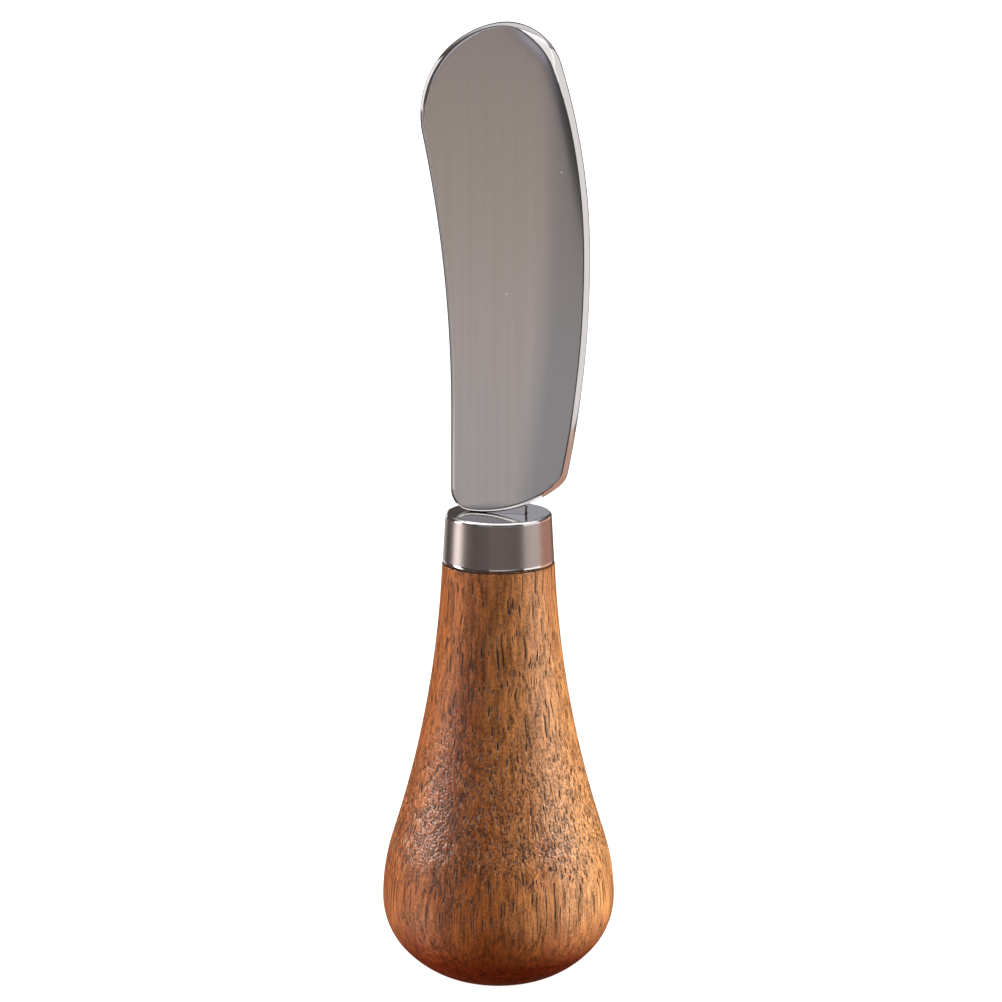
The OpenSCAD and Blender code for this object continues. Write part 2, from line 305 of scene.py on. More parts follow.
def add_node(tree, kind, inputs=None, out=0, **settings):
    """Adds a node with its settings, and gives the output asked for. An input takes a value, or the
    socket that it is linked to."""
    node = tree.nodes.new(kind)
    for name, value in settings.items():
        setattr(node, name, value)
    for name, value in (inputs or {}).items():
        if isinstance(value, bpy.types.NodeSocket):
            tree.links.new(value, node.inputs[name])
        else:
            node.inputs[name].default_value = value
    return node.outputs[out] if node.outputs else node


def new_material(name):
    """An empty material, its node tree and its Object coordinates."""
    material = bpy.data.materials.new(name)
    material.use_nodes = True
    material.node_tree.nodes.clear()
    where = add_node(material.node_tree, "ShaderNodeTexCoord", out="Object")
    return material, material.node_tree, where


def surface(tree, inputs):
    """The shader of a material, with its output."""
    shader = add_node(tree, "ShaderNodeBsdfPrincipled", inputs)
    add_node(tree, "ShaderNodeOutputMaterial", {"Surface": shader})


def pitch(across, along):
    """Scale of a pattern that repeats every so many millimetres across and along Z."""
    return (1 / (across * MM), 1 / (across * MM), 1 / (along * MM))


def vessels(tree, where, apart, widest):
    """Open vessels of mixed width that run along Z, from 0 between them to 1 inside them. They stand so many
    millimetres apart, and the widest takes that share of it to each side."""
    near = add_node(tree, "ShaderNodeTexVoronoi", {"Vector": where, "Scale": 1 / (apart * MM)},
                    voronoi_dimensions="2D")
    chance = add_node(tree, "ShaderNodeSeparateColor", {0: near.node.outputs["Color"]})
    width = add_node(tree, "ShaderNodeMapRange", {"Value": chance, "To Min": 0.3 * widest, "To Max": widest})
    share = add_node(tree, "ShaderNodeMath", {0: near, 1: width}, operation="DIVIDE")
    return add_node(tree, "ShaderNodeMapRange", {"Value": share, "From Min": 1.0, "From Max": 0.6},
                    interpolation_type="SMOOTHSTEP")


def oiled_acacia(size):
    """Oiled acacia, turned and sanded: open vessels along Z, which the lathe cuts to dashes on the upright
    parts and to specks on the slopes, a painted glint below each speck, painted shade on the underside and
    the slopes, the side towards the bright lamp painted more golden, and a low satin sheen."""
    material, tree, where = new_material("oiled_acacia")
    # The vessels wander by about 0.5 mm over 7 mm
    wander = add_node(tree, "ShaderNodeTexNoise", {
        "Vector": where, "Scale": 1 / (7 * MM), "Detail": 2.0}, out="Color")
    drift = add_node(tree, "ShaderNodeVectorMath", {0: wander, 1: (0.5, 0.5, 0.5)}, operation="SUBTRACT")
    grown = add_node(tree, "ShaderNodeVectorMath", {0: drift, 1: (1.6 * MM,) * 3, 2: where},
                     operation="MULTIPLY_ADD")
    # Vessels 0.65 mm apart and up to 0.3 mm wide, and finer ones between them
    wide = vessels(tree, grown, 0.65, 0.24)
    fine = vessels(tree, grown, 0.38, 0.26)
    some = add_node(tree, "ShaderNodeMath", {0: fine, 1: 0.75}, operation="MULTIPLY")
    open_pores = add_node(tree, "ShaderNodeMath", {0: wide, 1: some}, operation="MAXIMUM")
    # Sanding dust fills about two thirds of each vessel on the underside, and less up the belt
    normal = add_node(tree, "ShaderNodeNewGeometry", out="Normal")
    rise = add_node(tree, "ShaderNodeSeparateXYZ", {0: normal}, out="Z")
    clear = add_node(tree, "ShaderNodeMapRange", {
        "Value": rise, "From Min": -0.12, "From Max": 0.1, "To Min": 0.3, "To Max": 1.0})
    pits = add_node(tree, "ShaderNodeMath", {0: open_pores, 1: clear}, operation="MULTIPLY")
    # Painted glints: the same vessels a little further out show as a pale rim on the lower side of each
    # speck, where its lip would catch the light
    inward = add_node(tree, "ShaderNodeVectorMath", {0: grown, 1: (0.982, 0.982, 1)}, operation="MULTIPLY")
    rims = add_node(tree, "ShaderNodeMath", {0: vessels(tree, inward, 0.65, 0.24), 1: pits},
                    operation="SUBTRACT", use_clamp=True)
    slope = add_node(tree, "ShaderNodeMapRange", {"Value": rise, "From Min": 0.12, "From Max": 0.4},
                     interpolation_type="SMOOTHSTEP")
    glints = add_node(tree, "ShaderNodeMath", {0: rims, 1: slope}, operation="MULTIPLY")
    # Fibres 0.6 mm apart and about 6 mm long, and a finer grain where the slopes cut across them
    fibre_space = add_node(tree, "ShaderNodeVectorMath", {0: grown, 1: pitch(0.6, 6)}, operation="MULTIPLY")
    fibre = add_node(tree, "ShaderNodeTexNoise", {
        "Vector": fibre_space, "Scale": 1.0, "Detail": 1.0, "Roughness": 0.6})
    cut_space = add_node(tree, "ShaderNodeVectorMath", {0: grown, 1: pitch(0.3, 0.32)}, operation="MULTIPLY")
    grain = add_node(tree, "ShaderNodeTexNoise", {"Vector": cut_space, "Scale": 1.0, "Detail": 0.0})
    uneven = add_node(tree, "ShaderNodeMath", {0: grain, 1: 0.5}, operation="SUBTRACT")
    torn = add_node(tree, "ShaderNodeMapRange", {"Value": slope, "To Min": 0.5, "To Max": 1.15})
    raised = add_node(tree, "ShaderNodeMath", {0: uneven, 1: torn, 2: fibre}, operation="MULTIPLY_ADD")
    # Figure: soft bands about 5 mm wide. The side towards the bright lamp on the right is painted more
    # golden, as painted light, and the other side is redder
    figure_space = add_node(tree, "ShaderNodeVectorMath", {0: grown, 1: pitch(5, 60)}, operation="MULTIPLY")
    figure = add_node(tree, "ShaderNodeTexNoise", {
        "Vector": figure_space, "Scale": 1.0, "Detail": 2.0, "Roughness": 0.5})
    across = add_node(tree, "ShaderNodeSeparateXYZ", {0: grown}, out="X")
    side = add_node(tree, "ShaderNodeMapRange", {"Value": across, "From Min": -3 * MM, "From Max": 13 * MM})
    # Towards the foot the golden share falls, so the wood turns redder there
    lower = add_node(tree, "ShaderNodeMapRange", {
        "Value": across.node.outputs["Z"], "From Min": 40 * MM, "From Max": 8 * MM, "To Max": -0.36})
    golden = add_node(tree, "ShaderNodeMath", {0: side, 1: lower}, operation="ADD")
    hue = add_node(tree, "ShaderNodeMix", {
        FACTOR: golden, FIRST: size.red_wood, SECOND: size.lit_side_gold}, **COLOURS)
    shadow = add_node(tree, "ShaderNodeMapRange", {
        "Value": figure, "From Min": 0.55, "From Max": 0.35, "To Max": 0.7})
    banded = add_node(tree, "ShaderNodeMix", {FACTOR: shadow, FIRST: hue, SECOND: size.dark_wood}, **COLOURS)
    # The underside and the slopes, where the fibres are cut across, are darker: the end grain takes more oil,
    # and painted shade darkens the underside and the slopes further
    ends = add_node(tree, "ShaderNodeMapRange", {"Value": rise, "From Min": 0.0, "From Max": -0.7})
    oiled = add_node(tree, "ShaderNodeMix", {FACTOR: ends, FIRST: banded, SECOND: size.end_grain_and_shade}, **COLOURS)
    # Painted shade: the slopes are about a tenth darker
    slope_shaded = add_node(tree, "ShaderNodeMath", {0: slope, 1: -0.06, 2: raised}, operation="MULTIPLY_ADD")
    shade = add_node(tree, "ShaderNodeMapRange", {
        "Value": slope_shaded, "From Min": 0.15, "From Max": 0.85, "To Min": 0.25, "To Max": 1.45})
    fibrous = add_node(tree, "ShaderNodeVectorMath", {0: oiled, "Scale": shade}, operation="SCALE")
    porous = add_node(tree, "ShaderNodeMix", {FACTOR: pits, FIRST: fibrous, SECOND: size.pore}, **COLOURS)
    # Painted glints on the slopes, mixed into the colour
    flecked = add_node(tree, "ShaderNodeMix", {
        FACTOR: glints, FIRST: porous, SECOND: size.painted_glint}, **COLOURS)
    # Relief: open vessels between raised fibres and grain, which break the sheen into glints
    relief = add_node(tree, "ShaderNodeMath", {0: pits, 1: -1.4, 2: raised}, operation="MULTIPLY_ADD")
    bump = add_node(tree, "ShaderNodeBump", {"Height": relief, "Strength": 1.0, "Distance": 0.08 * MM})
    dull = add_node(tree, "ShaderNodeMapRange", {"Value": pits, "To Min": 0.36, "To Max": 0.6})
    surface(tree, {"Base Color": flecked, "Roughness": dull, "Normal": bump, "IOR": 1.46,
                   "Coat Weight": 0.25, "Coat Roughness": 0.27, "Coat Normal": bump})
    return material


def polished_stainless(name, tint):
    """Stainless steel buffed on a wheel: a near mirror, with a haze that varies a little along the edge."""
    material, tree, where = new_material(name)
    # Buffing haze in patches of about 2 mm
    haze_space = add_node(tree, "ShaderNodeVectorMath", {0: where, 1: pitch(2, 3)}, operation="MULTIPLY")
    haze = add_node(tree, "ShaderNodeTexNoise", {"Vector": haze_space, "Scale": 1.0, "Detail": 2.0})
    rough = add_node(tree, "ShaderNodeMapRange", {
        "Value": haze, "From Min": 0.3, "From Max": 0.7, "To Min": 0.064, "To Max": 0.104})
    surface(tree, {"Base Color": tint, "Metallic": 1.0, "Roughness": rough})
    return material


def satin_blade_steel(size, border):
    """Stainless sheet, fine-ground and buffed: a soft mirror with faint streaks along the blade, a ground
    facet beside the edge painted cooler and darker as a painted reflection, and a few bright specks left by
    the grit."""
    material, tree, where = new_material("satin_blade_steel")
    # Streaks 0.8 mm wide, drawn coarser than the real grit, which is too fine to show
    streak_space = add_node(tree, "ShaderNodeVectorMath", {0: where, 1: pitch(0.8, 45)}, operation="MULTIPLY")
    streaks = add_node(tree, "ShaderNodeTexNoise", {
        "Vector": streak_space, "Scale": 1.0, "Detail": 2.0, "Roughness": 0.5})
    tint = add_node(tree, "ShaderNodeMapRange", {"Value": streaks, "From Min": 0.35, "From Max": 0.65})
    satin = add_node(tree, "ShaderNodeMix", {FACTOR: tint, FIRST: size.steel, SECOND: size.streak}, **COLOURS)
    # The facet lies beyond the arc that borders it
    flat = add_node(tree, "ShaderNodeVectorMath", {0: where, 1: (1, 0, 1)}, operation="MULTIPLY")
    reach = add_node(tree, "ShaderNodeVectorMath", {0: flat, 1: (border.x, 0, border.y)}, out="Value",
                     operation="DISTANCE")
    facet = add_node(tree, "ShaderNodeMapRange", {
        "Value": reach, "From Min": size.grind_radius - size.grind_blend,
        "From Max": size.grind_radius + size.grind_blend}, interpolation_type="SMOOTHSTEP")
    # Painted reflection: the facet takes a cooler, darker tint than the face
    tone = add_node(tree, "ShaderNodeMix", {FACTOR: facet, FIRST: satin, SECOND: size.ground}, **COLOURS)
    # Specks up to 0.4 mm across, about 7 mm apart
    grit_space = add_node(tree, "ShaderNodeVectorMath", {0: where, 1: pitch(7, 7)}, operation="MULTIPLY")
    grit = add_node(tree, "ShaderNodeTexVoronoi", {"Vector": grit_space, "Scale": 1.0}, feature="F1")
    specks = add_node(tree, "ShaderNodeMapRange", {"Value": grit, "From Min": 0.03, "From Max": 0.015})
    specked = add_node(tree, "ShaderNodeMix", {FACTOR: specks, FIRST: tone, SECOND: size.polish}, **COLOURS)
    rough = add_node(tree, "ShaderNodeMapRange", {
        "Value": streaks, "From Min": 0.3, "From Max": 0.7, "To Min": 0.175, "To Max": 0.195})
    surface(tree, {"Base Color": specked, "Metallic": 1.0, "Roughness": rough})
    return material


def brushed_stainless(size):
    """Stainless tube, brushed round its axis on the lathe: upright highlights with crisp sides, drawn out
    along Z by hairlines that run round the wall."""
    material, tree, where = new_material("brushed_stainless")
    # Hairlines 0.15 mm apart, drawn coarser than the real ones, which are too fine to show
    line_space = add_node(tree, "ShaderNodeVectorMath", {0: where, 1: pitch(7, 0.15)}, operation="MULTIPLY")
    lines = add_node(tree, "ShaderNodeTexNoise", {
        "Vector": line_space, "Scale": 1.0, "Detail": 2.0, "Roughness": 0.6})
    shade = add_node(tree, "ShaderNodeMapRange", {
        "Value": lines, "From Min": 0.3, "From Max": 0.7, "To Min": 0.93, "To Max": 1.05})
    tone = add_node(tree, "ShaderNodeVectorMath", {0: size.steel[:3], "Scale": shade}, operation="SCALE")
    rough = add_node(tree, "ShaderNodeMapRange", {
        "Value": lines, "From Min": 0.3, "From Max": 0.7, "To Min": 0.38, "To Max": 0.42})
    surface(tree, {"Base Color": tone, "Metallic": 1.0, "Roughness": rough,
                   "Anisotropic": 0.7, "Anisotropic Rotation": 0.25})
    return material


def cast_epoxy(size):
    """Cast epoxy, hidden in the hole round the tang: a glossy amber clouded by trapped air."""
    material, tree, where = new_material("cast_epoxy")
    # Air bubbles in clouds of about 1.5 mm
    air_space = add_node(tree, "ShaderNodeVectorMath", {0: where, 1: pitch(1.5, 1.5)}, operation="MULTIPLY")
    air = add_node(tree, "ShaderNodeTexNoise", {"Vector": air_space, "Scale": 1.0, "Detail": 3.0})
    tone = add_node(tree, "ShaderNodeMix", {FACTOR: air, FIRST: size.amber, SECOND: size.cloud}, **COLOURS)
    surface(tree, {"Base Color": tone, "Roughness": 0.15, "IOR": 1.55})
    return material


def pale_paper(size):
    """Pale seamless paper, lit from below as on a light table: matt and even."""
    material, tree = new_material("pale_seamless_paper")[:2]
    surface(tree, {"Base Color": size.paper, "Roughness": 0.9, "Specular IOR Level": 0.1,
                   "Emission Color": size.paper, "Emission Strength": 1.0})
    return material


def heading(start, end):
    """Direction from one point of a plane to another."""
    return math.atan2(end.y - start.y, end.x - start.x)


def polar(radius, direction):
    """A point at a radius and a direction in a plane."""
    return Vector((radius * math.cos(direction), radius * math.sin(direction)))


def ease(value, start, end):
    """Rises smoothly from 0 at the start to 1 at the end."""
    share = min(max((value - start) / (end - start), 0), 1)
    return share * share * (3 - 2 * share)


def only(kind, parts):
    """Those parts of a mesh that are of one kind."""
    return [part for part in parts if isinstance(part, kind)]


def start_at(bm, point):
    """The first vertex of an outline in the XZ plane."""
    return bm.verts.new((point[0], 0, point[1]))


def line_to(bm, vert, point):
    """Carries an outline straight to a point, and gives its new end."""
    end = start_at(bm, point)
    bm.edges.new((vert, end))
    return end


def arc_to(bm, vert, centre, direction, turn, steps):
    """Carries an outline round a centre to a direction, turning left or right, and gives its new end."""
    start = math.atan2(vert.co.z - centre.y, vert.co.x - centre.x)
    sweep = turn * ((turn * (direction - start)) % math.tau)
    made = bmesh.ops.spin(bm, geom=[vert], cent=(centre.x, 0, centre.y), axis=(0, -1, 0), angle=sweep,
                          steps=steps, use_duplicate=False)
    return only(bmesh.types.BMVert, made["geom_last"])[0]


def turn_on_lathe(bm):
    """Spins an outline round Z into a closed surface."""
    bmesh.ops.spin(bm, geom=bm.verts[:] + bm.edges[:], cent=(0, 0, 0), axis=(0, 0, 1), angle=math.tau,
                   steps=LATHE_STEPS, use_merge=True)
    bmesh.ops.remove_doubles(bm, verts=bm.verts[:], dist=WELD)


def inner_touch(first, first_r, second, second_r, radius, side):
    """Centre of a circle that touches two circles from within, left or right of the way between them."""
    apart = (second - first).length
    ahead = (second - first) / apart
    along = (apart ** 2 + (first_r - radius) ** 2 - (second_r - radius) ** 2) / (2 * apart)
    across = math.sqrt((first_r - radius) ** 2 - along ** 2)
    return first + along * ahead + side * across * Vector((-ahead.y, ahead.x))


def extrude(bm, faces):
    """Extrudes faces without moving them, and gives the new faces and their vertices."""
    made = bmesh.ops.extrude_face_region(bm, geom=faces)["geom"]
    bmesh.ops.delete(bm, geom=faces, context="FACES")
    return only(bmesh.types.BMFace, made), only(bmesh.types.BMVert, made)


def make_piece(name, bm, materials, crease):
    """A finished piece at the origin that stands for its CAD node and rides on the body."""
    bmesh.ops.recalc_face_normals(bm, faces=bm.faces[:])
    open_edges = sum(not edge.is_manifold for edge in bm.edges)
    if open_edges:
        raise RuntimeError(f"{name} has {open_edges} open edges")
    mesh = bpy.data.meshes.new(name)
    bm.to_mesh(mesh)
    bm.free()
    for material in materials:
        mesh.materials.append(material)
    mesh.shade_smooth()
    mesh.set_sharp_from_angle(angle=math.radians(crease))
    piece = bpy.data.objects.new(name, mesh)
    bpy.context.scene.collection.objects.link(piece)
    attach(piece, BODY)
    return piece


class SPATULA_OT_turn_handle(bpy.types.Operator):
    """Turn the wooden handle, with its spigot and the hole for the tang"""
    bl_idname = "spatula.turn_handle"
    bl_label = "Turn handle"

    def execute(self, context):
        size = context.scene.spatula_handle
        ferrule = context.scene.spatula_ferrule
        blade = context.scene.spatula_blade
        shoulder_z, cap_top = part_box("ferrule")[0].z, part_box("ferrule")[1].z
        bulb_r, neck_r = size.bulb_diameter / 2, size.neck_diameter / 2
        foot, bulb = Vector((size.foot_diameter / 2, 0)), Vector((bulb_r, size.bulb_height))
        # Underside: two tangent arcs from the foot to the upright side of the bulb
        rise = polar(1, size.foot_rise)
        span = bulb - foot
        turn, run = 1 - rise.dot(UP), span.dot(rise + UP)
        reach = (math.sqrt(run ** 2 + 2 * turn * span.dot(span)) - run) / (2 * turn)
        join = (foot + bulb + reach * (rise - UP)) / 2
        rise_normal = Vector((-rise.y, rise.x))
        base_r = (join - foot).length_squared / (2 * rise_normal.dot(join - foot))
        base_c = foot + base_r * rise_normal
        belly_c = bulb + Vector(((join - bulb).length_squared / (2 * (join - bulb).x), 0))
        # Side: a convex arc and a hollow one that ends at the lean of the neck
        shoulder_c = bulb - Vector((size.shoulder_radius, 0))
        neck = Vector((neck_r, shoulder_z - size.neck_break))
        lean = polar(1, size.neck_lean)
        rise_to_neck = neck - shoulder_c
        hollow_r = ((rise_to_neck.length_squared - size.shoulder_radius ** 2)
                    / (2 * (size.shoulder_radius - lean.dot(rise_to_neck))))
        hollow_c = neck + hollow_r * lean
        # Spigot inside the ferrule and the drilled hole
        spigot_r = ferrule.diameter / 2 - ferrule.taper / 2 - ferrule.wall - size.spigot_clearance
        spigot_top = cap_top - ferrule.wall - size.bond_layer
        hole_r = Vector((blade.tang_width / 2, blade.tang_thickness / 2)).length + size.bond
        hole_end = cap_top - blade.tang_length - 2 * size.bond
        drill_point = hole_r / math.tan(size.drill_angle / 2)
        # Outline from the middle of the foot, up the side and down the hole
        bm = bmesh.new()
        v = start_at(bm, (0, 0))
        v = line_to(bm, v, foot)
        v = arc_to(bm, v, base_c, heading(base_c, join), LEFT, steps=12)
        v = arc_to(bm, v, belly_c, 0, LEFT, steps=32)
        v = arc_to(bm, v, shoulder_c, heading(shoulder_c, hollow_c), LEFT, steps=24)
        v = arc_to(bm, v, hollow_c, heading(hollow_c, neck), RIGHT, steps=48)
        for point in ((neck_r - size.neck_break, shoulder_z), (spigot_r, shoulder_z), (spigot_r, spigot_top),
                      (hole_r, spigot_top), (hole_r, hole_end), (0, hole_end - drill_point)):
            v = line_to(bm, v, point)
        turn_on_lathe(bm)
        piece = make_piece("turned_handle", bm, [oiled_acacia(size)], crease=30)
        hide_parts("handle")
        return {"FINISHED"}


class SPATULA_OT_draw_ferrule(bpy.types.Operator):
    """Draw the steel ferrule, with its rounded top, polished lower edge and slot"""
    bl_idname = "spatula.draw_ferrule"
    bl_label = "Draw ferrule"

    def execute(self, context):
        size = context.scene.spatula_ferrule
        blade = context.scene.spatula_blade
        low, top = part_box("ferrule")[0].z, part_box("ferrule")[1].z
        lower_r = size.diameter / 2
        upper_r = lower_r - size.taper / 2
        bore_r, cap = upper_r - size.wall, top - size.wall
        top_c = Vector((upper_r - size.top_round, top - size.top_round))
        rim_c = Vector((lower_r - size.lower_round, low + size.lower_round))
        # A narrow band beside an edge keeps its shading off the large face next to it
        band = 0.1 * MM
        # Outline from the flat of the top, down the wall and up the bore
        bm = bmesh.new()
        v = start_at(bm, (top_c.x - band, top))
        v = line_to(bm, v, (top_c.x, top))
        v = arc_to(bm, v, top_c, 0, RIGHT, steps=12)
        v = line_to(bm, v, (upper_r, top_c.y - band))
        v = line_to(bm, v, (lower_r, low + size.rim))
        v = line_to(bm, v, (lower_r, rim_c.y))
        v = arc_to(bm, v, rim_c, -math.pi / 2, RIGHT, steps=10)
        for point in ((bore_r, low), (bore_r, cap), (bore_r - band, cap)):
            v = line_to(bm, v, point)
        turn_on_lathe(bm)
        # Slot: the walls of a box, joined to the top and to its underside
        slot = bmesh.ops.create_grid(bm, x_segments=1, y_segments=1, size=0.5,
                                     matrix=Matrix.Translation((0, 0, top)))["verts"]
        gap = 2 * size.slot_clearance
        bmesh.ops.scale(bm, vec=(blade.tang_width + gap, blade.tang_thickness + gap, 1), verts=slot)
        lid = slot[0].link_faces[0]
        sunk = bmesh.ops.extrude_face_region(bm, geom=[lid], use_keep_orig=True)["geom"]
        bmesh.ops.translate(bm, vec=(0, 0, cap - top), verts=only(bmesh.types.BMVert, sunk))
        bmesh.ops.delete(bm, geom=[lid] + only(bmesh.types.BMFace, sunk), context="FACES_ONLY")
        for level in (top, cap):
            border = [e for e in bm.edges if e.is_boundary]
            rims = [e for e in border if all(abs(v.co.z - level) < WELD for v in e.verts)]
            bmesh.ops.bridge_loops(bm, edges=rims)
        # The wall is brushed and the rest is polished
        for face in bm.faces:
            middle = face.calc_center_median()
            outside = middle.xy.length > bore_r + band
            brushed = outside and low + size.rim < middle.z < top_c.y
            face.material_index = MAIN if brushed else POLISHED
        materials = [brushed_stainless(size), polished_stainless("polished_ferrule_steel", size.polish)]
        piece = make_piece("drawn_ferrule", bm, materials, crease=40)
        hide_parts("ferrule")
        return {"FINISHED"}


def round_width(size, tip_z, spot):
    """Width of the polished round: it swells at the two sides of the tip, and thins at its top and along
    the seat."""
    flank = (spot.z - tip_z) / size.tip_radius
    edge_side = ease(spot.x, -size.tip_radius / 6, size.tip_radius / 2)
    widest = SPINE_SWELL + (EDGE_SWELL - SPINE_SWELL) * edge_side
    swell = size.tip_swell * math.exp(-SWELL_FALL * (flank - widest) ** 2)
    tip_top = ease(flank, 0.8, 1) * ease(spot.x, 0.4 * size.tip_radius, 0.2 * size.tip_radius)
    seat_side = ease(spot.z, 1.5 * size.heel, 0.9 * size.heel)
    return size.edge_round + swell - size.tip_thin * tip_top - size.seat_thin * seat_side


def half_thickness(size, border, tip_z, spot, inset):
    """Half the blade's thickness at a point that lies so far inside its outline."""
    beyond = (Vector((spot.x, spot.z)) - border).length - size.grind_radius
    ground = (beyond + math.hypot(beyond, size.grind_blend)) / 2 * ease(spot.z, 0, size.grind_blend)
    wide = round_width(size, tip_z, spot)
    # The roll is on the upper part of the edge's side
    roll = max(1 - max(inset - wide, 0) / size.roll_width, 0) ** 2 * ease(spot.x, 0, size.tip_radius / 2)
    roll *= ease(spot.z, 0.9 * size.edge_height, 1.6 * size.edge_height)
    left = size.thickness / 2 - ground * size.grind_depth / size.grind_width - roll * size.roll_depth
    slack = max(1 - inset / wide, 0)
    deep = min(size.edge_round, left - size.edge_flat)
    # The round is nearly straight beside the facet, so that it shows there as one bright strip
    straight = STRAIGHTEST * ease(spot.x, -size.spine / 3, size.spine)
    return left - deep * (straight * slack + (1 - straight) * (1 - math.sqrt(1 - slack ** 2)))


def cut_outline(size, tip_z):
    """The outline of the blade, once round from the lowest point of the seat, with the top of the ferrule
    at zero."""
    # Centres of its tangent arcs
    spine_c = Vector((-size.spine - size.spine_radius, size.spine_straight))
    reach = math.sqrt((size.spine_radius + size.tip_radius) ** 2 - (tip_z - size.spine_straight) ** 2)
    tip_c = Vector((spine_c.x + reach, tip_z))
    upper_c = Vector((size.edge_reach - size.upper_edge, size.edge_height))
    lower_c = Vector((size.edge_reach - size.lower_edge, size.edge_height))
    seat_c = Vector((-size.seat_offset, size.seat))
    corner_c = inner_touch(upper_c, size.upper_edge, tip_c, size.tip_radius, size.tip_corner, LEFT)
    heel_c = inner_touch(lower_c, size.lower_edge, seat_c, size.seat, size.heel, RIGHT)
    corner_x = size.seat_corner - size.spine
    corner_drop = math.sqrt((size.seat - size.seat_corner) ** 2 - (corner_x - seat_c.x) ** 2)
    seat_corner_c = Vector((corner_x, size.seat - corner_drop))
    bm = bmesh.new()
    v = start_at(bm, (seat_c.x, 0))
    v = arc_to(bm, v, seat_c, heading(seat_c, heel_c), LEFT, steps=28)
    v = arc_to(bm, v, heel_c, heading(lower_c, heel_c), LEFT, steps=14)
    v = arc_to(bm, v, lower_c, 0, LEFT, steps=28)
    v = arc_to(bm, v, upper_c, heading(upper_c, corner_c), LEFT, steps=24)
    v = arc_to(bm, v, corner_c, heading(tip_c, corner_c), LEFT, steps=28)
    v = arc_to(bm, v, tip_c, heading(tip_c, spine_c), LEFT, steps=40)
    v = arc_to(bm, v, spine_c, 0, RIGHT, steps=32)
    v = line_to(bm, v, (-size.spine, seat_corner_c.y))
    v = arc_to(bm, v, seat_corner_c, heading(seat_c, seat_corner_c), LEFT, steps=14)
    arc_to(bm, v, seat_c, -math.pi / 2, LEFT, steps=4)
    bmesh.ops.remove_doubles(bm, verts=bm.verts[:], dist=WELD)
    # The two sides of the tang each get a vertex on the seat
    for side in (-size.tang_width / 2, size.tang_width / 2):
        low = [e for e in bm.edges if all(v.co.z < size.seat_corner for v in e.verts)]
        cut = next(e for e in low if (e.verts[0].co.x - side) * (e.verts[1].co.x - side) < 0)
        start, end = cut.verts
        bmesh.utils.edge_split(cut, start, (side - start.co.x) / (end.co.x - start.co.x))
    return bm


def grind_front(bm, size, tip_z, border):
    """Fills the outline, and gives the front of the blade its polished round, its roll and its facet."""
    face = bmesh.ops.contextual_create(bm, geom=bm.edges[:])["faces"][0]
    # Rings of faces inside the outline carry the round, the roll and the border of the polish
    inset = 0.0
    depth = {}
    for width in RINGS:
        ring = bmesh.ops.inset_region(bm, faces=[face], thickness=width, use_boundary=True,
                                      use_even_offset=True)["faces"]
        inner = set(face.verts)
        for band in ring:
            polished = inset + width / 2 < round_width(size, tip_z, band.calc_center_median())
            band.material_index = POLISHED if polished else MAIN
            depth.update((v, inset) for v in band.verts if v not in inner)
        inset += width
    depth.update((v, inset) for v in face.verts)
    # The flat is cut into cells, so that the facet can bend it
    face.material_index = FLAT
    cuts = [((0, 0, row * CELL_HEIGHT), (0, 0, 1)) for row in ROWS]
    cuts += [((column * CELL_WIDTH, 0, 0), (1, 0, 0)) for column in COLUMNS]
    for point, normal in cuts:
        flat = [f for f in bm.faces if f.material_index == FLAT]
        edges = list({e for f in flat for e in f.edges})
        verts = list({v for f in flat for v in f.verts})
        bmesh.ops.bisect_plane(bm, geom=flat + edges + verts, dist=SNAP, plane_co=point, plane_no=normal)
    for v in bm.verts:
        v.co.y = -half_thickness(size, border, tip_z, v.co, depth.get(v, inset))
    for cell in bm.faces:
        if cell.material_index == FLAT:
            cell.material_index = MAIN


def draw_tang(bm, size, sides):
    """Draws the tang out of the seat: it steps to its own thickness, tapers and ends round."""
    reach = size.tang_width / 2 + WELD
    seat = [f for f in sides if all(abs(v.co.x) < reach and v.co.z < size.seat_corner for v in f.verts)]
    step_faces, step_verts = extrude(bm, seat)
    for v in step_verts:
        v.co.y = math.copysign(size.tang_thickness / 2, v.co.y)
        v.co.z -= TANG_STEP
    end_verts = extrude(bm, step_faces)[1]
    end_r = size.tang_end / 2
    for v in end_verts:
        v.co.x *= size.tang_end / size.tang_width
        v.co.z = -size.tang_length + end_r - math.sqrt(max(end_r ** 2 - v.co.x ** 2, 0))


class SPATULA_OT_grind_blade(bpy.types.Operator):
    """Cut the blade and its tang from one sheet, round its edges and grind the facet"""
    bl_idname = "spatula.grind_blade"
    bl_label = "Grind blade"

    def execute(self, context):
        size = context.scene.spatula_blade
        base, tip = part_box("ferrule")[1].z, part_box("blade")[1].z
        tip_z = tip - base - size.tip_radius
        # Centre of the arc that borders the facet on the flat of the blade
        climb = size.grind_height - size.edge_height
        drop = size.grind_radius - math.sqrt(size.grind_radius ** 2 - climb ** 2)
        border_x = size.edge_reach - size.edge_round - size.grind_width + drop - size.grind_radius
        border = Vector((border_x, size.grind_height))
        bm = cut_outline(size, tip_z)
        grind_front(bm, size, tip_z, border)
        # The back is the front's mirror, and the narrow side of the sheet joins them
        bmesh.ops.mirror(bm, geom=bm.verts[:] + bm.edges[:] + bm.faces[:], axis="Y", merge_dist=0.0)
        sides = bmesh.ops.bridge_loops(bm, edges=[e for e in bm.edges if e.is_boundary])["faces"]
        for side in sides:
            side.material_index = POLISHED
        draw_tang(bm, size, sides)
        bmesh.ops.translate(bm, vec=(0, 0, base), verts=bm.verts[:])
        materials = [satin_blade_steel(size, border + base * UP),
                     polished_stainless("polished_edge_steel", size.polish)]
        piece = make_piece("ground_blade", bm, materials, crease=60)
        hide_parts("blade")
        return {"FINISHED"}


